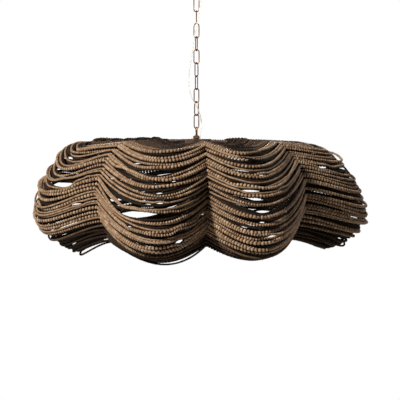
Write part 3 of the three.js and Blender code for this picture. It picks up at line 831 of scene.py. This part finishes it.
# %% [markdown]
# # Where each strand hangs
# The strands go right round the shade, over all six ribs, so where one lobe's strand ends the
# next lobe's begins at the same place on the rib. On the ribs they are packed closely, and some
# lie on top of others. Between the ribs each one hangs in its own way: a bit further out or
# down than its neighbours, or wandering across them. Behind them lie two layers of plainer
# strands, and more under the bottom, which close most of the gaps. These are painted near black
# as painted shade. All of this is drawn by chance, from a fixed seed, so
# that every run gives the same lamp.

# %% Rows on the ribs
first_row, final_row = 0.8, 10.75
shoulder_row = 3.0
low_row = 8.6
shoulder_spacing, strand_spacing, low_spacing = 0.0088, 0.0099, 0.0122
level_rows = {"shoulder": (0, 3.0), "upper": (3.0, 4.87), "middle": (4.87, 7.4), "lower": (7.4, 12)}


def even_rows(start, end, spacing):
    """Rows from start to end that lie evenly spaced along a rib, about spacing metres apart."""
    rows = np.linspace(start, end, 400)
    radius, height = rib_place(rows)
    walked = np.concatenate([[0], np.cumsum(np.hypot(np.diff(radius), np.diff(height)))])
    count = int(round(walked[-1] / spacing))
    return np.interp((np.arange(count) + 0.5) / count * walked[-1], walked, rows)


mean_rows = np.concatenate([
    even_rows(first_row, shoulder_row, shoulder_spacing),
    even_rows(shoulder_row, low_row, strand_spacing),
    even_rows(low_row, final_row, low_spacing),
])
row_gaps = np.gradient(mean_rows)
layout_rng = np.random.default_rng(71)
below_shoulder = np.clip((mean_rows - shoulder_row) / (final_row - shoulder_row), 0, 1)
front_shift = 0.9 * np.sin(np.pi * below_shoulder)  # the front rib's strands have slid down
rib_shift = np.array([1, 0, 0, 0, 0, 0])[:, None] * front_shift
crowding = np.clip(layout_rng.normal(0, 0.22, (lobe_count, len(mean_rows))), -0.45, 0.45)
rib_rows = mean_rows + rib_shift + row_gaps * crowding
piled = layout_rng.choice([0, 0.003, 0.006], (lobe_count, len(mean_rows)), p=[0.5, 0.3, 0.2])
rib_lifts = rib_radius + np.where(mean_rows < shoulder_row, 0.0020 + 0.3 * piled, 0.0051 + piled)
print(len(mean_rows), "strands to a lobe,", lobe_count * len(mean_rows), "in all")

# %% How each strand hangs
kind_shares = {  # large, medium and disc strands in each lobe
    "front_left": (0.46, 0.26, 0.28), "left": (0.28, 0.24, 0.48), "back_left": (0.30, 0.30, 0.40),
    "back_right": (0.30, 0.30, 0.40), "right": (0.36, 0.40, 0.24), "front_right": (0.52, 0.28, 0.20),
}
kind_names = ("large", "medium", "disc")
inner_share = 0.92  # of the spaces between two strands, how many have one behind them
inner_lift = rib_radius + 0.0048
# The underside's extra strands, like both inner layers, are painted near black: painted shade.
under_row, under_spacing = 9.7, 0.0066  # the underside, where the outer strands lie far apart
inner_step = 0.0085  # from one layer to the next, at a lobe's middle
across = np.linspace(-1, 1, 161)

# Where the strands are parted, in pixels of the picture: middle, half width, half height, and 1
# where the far side of the shade is parted too
partings = np.array([
    (140, 213.8, 42, 4.0, 1), (64, 184.5, 13, 3.4, 1), (78, 204, 10, 1.6, 1), (156, 172.5, 22, 3.0, 0),
    (148, 205, 8, 1.5, 1), (160, 204, 8, 1.7, 1), (178.9, 242, 6, 2.2, 1), (203, 214, 7, 1.8, 1),
    (323, 167.5, 7, 1.8, 1), (340, 168, 7, 2.0, 1), (251, 191, 13, 1.8, 1), (256, 199, 9, 1.7, 1),
    (262, 212, 10, 2.0, 1), (283, 189, 6, 1.5, 1), (262, 175, 8, 1.5, 1), (262, 222, 5, 1.3, 1),
    (159, 193.6, 6, 1.4, 1), (129.4, 226.3, 5, 1.3, 1), (89, 178, 5, 1.2, 1), (112, 179, 5, 1.1, 1),
    (174, 181.3, 5, 1.3, 1), (339, 238, 6, 1.8, 1), (172, 214.7, 6, 1.4, 1), (128, 206, 12, 1.6, 0),
    (118, 165, 10, 1.6, 0), (185, 230, 14, 2.0, 0), (236, 183, 12, 1.6, 0), (270, 236, 14, 1.6, 0),
])


def in_picture(line):
    """Each point's distance in front of the camera, and its place in the picture in pixels."""
    turn = np.array(camera.rotation_euler.to_matrix())
    seen = (line - np.array(camera.location)) @ turn
    scale = focal_pixels / -seen[:, 2]
    return -seen[:, 2], image_side / 2 + seen[:, 0] * scale, image_side / 2 - seen[:, 1] * scale


def parted(line):
    """The line with its points moved up or down, away from the middles of the partings.

    A strand that passes a parting's middle at a distance d in height is moved by its half height
    * (1 - across the parting squared) to the power of 1.5 * e to the power of -d / (1.6 half
    heights), and the nearer it passes, the more it is also laid level there. It goes the way
    that it already lies. Its ends stay on the ribs, but where the far side is parted too, the
    strands have slid along the rib. Each run of points that passes through is moved on its own,
    as a loop may pass once on each side.
    """
    depth, x, y = in_picture(line)
    moved = np.zeros(len(line))
    for middle_x, middle_y, half_width, half_height, right_through in partings:
        share = np.clip(1 - ((x - middle_x) / half_width) ** 2, 0, 1) ** 1.5
        if not right_through:
            share = share * (depth < view_distance - 0.1)
        inside = (share > 0).astype(int)
        runs = np.cumsum(np.diff(inside, prepend=0) > 0) * inside
        for run in range(1, runs.max() + 1):
            passing = np.where(runs == run, share, 0)
            if passing.max() < 0.05:
                continue
            offset = np.average(y - middle_y, weights=passing)
            nearness = np.exp(-abs(offset) / (1.6 * half_height))
            push = np.copysign(half_height, offset) * nearness
            level = middle_y + offset - y
            free = passing * (1 if right_through else 1 - across ** 8)
            moved += free * (push + 0.8 * nearness * level)
    line[:, 2] -= moved * depth / focal_pixels
    return line


def hanging_strand(lobe, k, rng):
    """The middle line of strand k of a lobe.

    Its row goes evenly from its row on one rib to its row on the next, plus a bend that is
    greatest in the middle and a sway that is greatest between the middle and each rib.
    """
    towards_first = (1 + across) / 2
    before, after = lobe, (lobe + 1) % lobe_count
    rows = rib_rows[after, k] + (rib_rows[before, k] - rib_rows[after, k]) * towards_first
    lift = rib_lifts[after, k] + (rib_lifts[before, k] - rib_lifts[after, k]) * towards_first
    swell = 1 - across ** 2
    bend, sway = rng.normal(0, 0.42), rng.normal(0, 0.30)
    rows = rows + row_gaps[k] * swell * (bend + sway * np.sin(np.pi * across))
    out, down = rng.normal(0, 0.0042), rng.normal(0.003, 0.0035)
    return parted(strand_line(across, rows, lobe, lift, out=out, down=down))


def inner_strand(lobe, row, layer, rng):
    """The middle line of a strand of an inner layer, tied to the inner side of the ribs."""
    rows = row + rng.normal(0, 0.06) + rng.normal(0, 0.05) * np.sin(np.pi * across)
    lift = -inner_lift - (layer - 1) * inner_step / 2
    out = rng.normal(-inner_step * layer, 0.002)
    return parted(strand_line(across, rows, lobe, lift, out=out, down=rng.normal(0, 0.003)))


def lobe_strands(lobe):
    """Every strand of a lobe as (row, kind, line), the outer layer first."""
    rng = np.random.default_rng(500 + lobe)
    kinds = rng.choice(kind_names, len(mean_rows), p=kind_shares[lobe_names[lobe]])
    found = [(row, kind, hanging_strand(lobe, k, rng)) for k, (row, kind) in enumerate(zip(mean_rows, kinds))]
    between = (mean_rows[:-1] + mean_rows[1:]) / 2
    for layer, rows in ((1, between), (2, mean_rows)):
        kept = rows[rng.uniform(0, 1, len(rows)) < inner_share]
        found += [(row, "shaded", inner_strand(lobe, row, layer, rng)) for row in kept]
    under = even_rows(under_row, final_row + 0.15, under_spacing)
    found += [(row, "shaded", inner_strand(lobe, row, 0.4, rng)) for row in under]
    return found


strands = {name: lobe_strands(lobe) for lobe, name in enumerate(lobe_names)}
print("strands worked out for", ", ".join(strands))

# %% [markdown]
# # Slipped strands
# A few strands have slipped and hang apart from the rest: two stand up over the back, and others
# droop below the bottom edge. They are tied to the ribs as all are, but with more lift at the
# ribs and more or less sag, and some sag more on one side.

# %% Strands that have slipped
slipped = [  # lobe, row, kind, lift at the first rib and at the second, down, more down on the first side
    ("back_left", 2.3, "disc", 0.014, 0.010, -0.016, 0.0),
    ("back_right", 2.0, "medium", 0.010, 0.012, -0.012, 0.0),
    ("left", 10.9, "disc", 0.006, 0.006, 0.010, 0.010),
    ("front_left", 10.95, "disc", 0.006, 0.006, 0.010, 0.014),
    ("right", 9.9, "disc", 0.006, 0.006, 0.004, -0.040),
]
for name, row, kind, first_lift, second_lift, down, tip in slipped:
    lift = second_lift + (first_lift - second_lift) * (1 + across) / 2
    rows = np.full(len(across), row)
    line = strand_line(across, rows, lobe_names.index(name), lift, down=down + tip * across)
    strands[name].append((row, kind, line))
print(len(slipped), "slipped strands")

# %% The strands of beads, one piece for each level of each lobe
def bead_piece(lobe_name, level, rng):
    """All the bead strands of one level of a lobe, as one object that stands for its solid."""
    low, high = level_rows[level]
    parts, shares, strand_shares = [], [], []
    for row, kind, line in strands[lobe_name]:
        if not low <= row < high:
            continue
        made = disc_beads(line, kind, rng) if kind in disc_kinds else round_beads(line, kind, rng)
        parts.append(made[:3])
        shares.append(made[3:])
        # Painted shade: the tone ranges are darker for rows at the hub and the underside, and lower on the
        # lobes that face the lamp. The shaded strands are near black.
        low_tone = np.interp(row, tone_rows, low_tones)
        high_tone = np.interp(row, tone_rows, high_tones)
        high_tone = max(low_tone, high_tone * painted_lobe_shades.get(lobe_name, 1))
        tone = rng.uniform(0, 0.1) if kind == "shaded" else rng.uniform(low_tone, high_tone)
        strand_shares.append(np.full(len(made[0]), tone))
    points, quads, triangles = joined(parts)
    name = f"beads_{lobe_name}_{level}"
    piece = new_piece(f"{name}_strands", points, quads, triangles, [wood.material], {
        "bead_share": np.concatenate([own for own, _ in shares]),
        "bore_share": np.concatenate([bore for _, bore in shares]),
        "strand_share": np.concatenate(strand_shares),
    })
    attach(piece, "shade")
    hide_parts(name)
    return 2 * len(quads) + len(triangles)


bead_rng = np.random.default_rng(12)
painted_lobe_shades = {"left": 0.64, "front_left": 0.80}  # the two lobes that face the lamp, with their pale strands toned down as painted shade
tone_rows = (1, 2.5, 3.5, 8.5, 9.5)  # the strands at the hub and the underside are darker: painted shade
low_tones, high_tones = (0.06, 0.13, 0.4, 0.4, 0.05), (0.10, 0.20, 1, 1, 0.14)
counts = [bead_piece(lobe, level, bead_rng) for lobe in lobe_names for level in level_rows]
print("triangles in beads:", sum(counts), "the largest piece:", max(counts))

# %% [markdown]
# # Frame, fittings and lights
# The pieces that only carry the shade keep the frame's own shapes and get finishes: browned iron
# for what is hidden inside, the chain's copper for what hangs in view. The bulbs are smoked glass
# and the sockets black, so that nothing pale shows through the strands. The ribs and the loop
# under the chain are seen close to, so they are made again with round wire.

# %% Finishes of the frame and the lights
browned_iron = Finish("browned_iron", Metallic=0.15, Specular_IOR_Level=0.2)
rust = browned_iron.mixed(0.4, browned_iron.noise(38, 4), browned_iron.noise(310, 2))
browned_iron.colour(browned_iron.steps(rust, [
    (0.35, (0.020, 0.013, 0.010)), (0.55, (0.055, 0.034, 0.024)), (0.7, (0.110, 0.062, 0.038))]))
browned_iron.roughness(browned_iron.span(browned_iron.noise(120), 0.3, 0.7, 0.85, 0.62))
browned_iron.bump(browned_iron.noise(450, 2), 0.0001)

black_resin = Finish("black_resin", IOR=1.55)
black_resin.colour(black_resin.mixed(
    black_resin.noise(90), (0.012, 0.011, 0.010, 1), (0.030, 0.026, 0.023, 1)))
black_resin.roughness(black_resin.span(black_resin.noise(260), 0.3, 0.7, 0.3, 0.5))

smoked_glass = Finish("smoked_glass", Transmission_Weight=0.55, IOR=1.45)
smoked_glass.colour(smoked_glass.mixed(
    smoked_glass.noise(24), (0.16, 0.10, 0.055, 1), (0.24, 0.155, 0.09, 1)))
smoked_glass.roughness(smoked_glass.span(smoked_glass.noise(140), 0.3, 0.7, 0.06, 0.16))

node_finishes = {
    "ceiling_plate": browned_iron.material, "hub_plate": browned_iron.material,
    "hub_stem": browned_iron.material, "bottom_ring": browned_iron.material,
    "socket_cluster": browned_iron.material, "terminal_block": black_resin.material,
    "canopy": antique_copper, "canopy_ring_nut": antique_copper, "canopy_loop": antique_copper,
    "hub_collar": antique_copper,
}
for number in (1, 2, 3):
    node_finishes[f"socket_{number}"] = black_resin.material
    node_finishes[f"bulb_{number}"] = smoked_glass.material
for node, finish in node_finishes.items():
    for material_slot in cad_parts[node].material_slots:
        material_slot.material = finish
print(len(node_finishes), "pieces of the frame have a finish")

# %% Ribs and the loop under the chain
rib_names = ("front", "front_left", "back_left", "back", "back_right", "front_right")
plate_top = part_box("hub_plate")[1][2]
plate_middle = (plate_top + plate_bottom) / 2
rib_start, plate_edge = 0.0363, 0.048


def rib_wire():
    """One rib in the plane of X and Z: a tube from its socket through every row of the outline."""
    radius, height = rib_place(np.arange(1, len(outline_shares)))
    places = np.stack([radius, np.zeros(len(radius)), height], axis=1)
    route = np.concatenate([[(rib_start, 0, plate_middle), (plate_edge, 0, plate_middle)], places])
    return tube(smooth_route(route, 8), rib_radius, 14, upwards=(0, 1, 0))


for number, name in enumerate(rib_names):
    points, quads, triangles = rib_wire()
    points = turned_about_z(points, -90 - math.degrees(lobe_turn) * number)
    piece = new_piece(f"rib_{name}_wire", points, quads, triangles, [browned_iron.material])
    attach(piece, "shade")
    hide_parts(f"rib_{name}")

hub_loop_turn, loop_wire, loop_width = 92, 0.005, 0.022
neck_radius, neck_bottom = 0.006, hub_loop_low
ring = wire_oval(loop_width, loop_length, loop_wire)
neck_heights = np.linspace(hub_loop_middle - loop_length / 2 + loop_wire / 2, neck_bottom, 12)
neck_line = np.stack([neck_heights * 0, neck_heights * 0, neck_heights], axis=1)
neck = tube(neck_line, neck_radius, 20, upwards=(0, 1, 0))
points = turned_about_z(ring[0], hub_loop_turn) + (0, 0, hub_loop_middle)
points, quads, triangles = joined([(points, ring[1], ring[2]), neck])
hub_loop = new_piece("hub_loop_wire", points, quads, triangles, [antique_copper])
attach(hub_loop, "shade_loop")
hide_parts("hub_loop")
print(len(rib_names), "ribs and the hub loop")
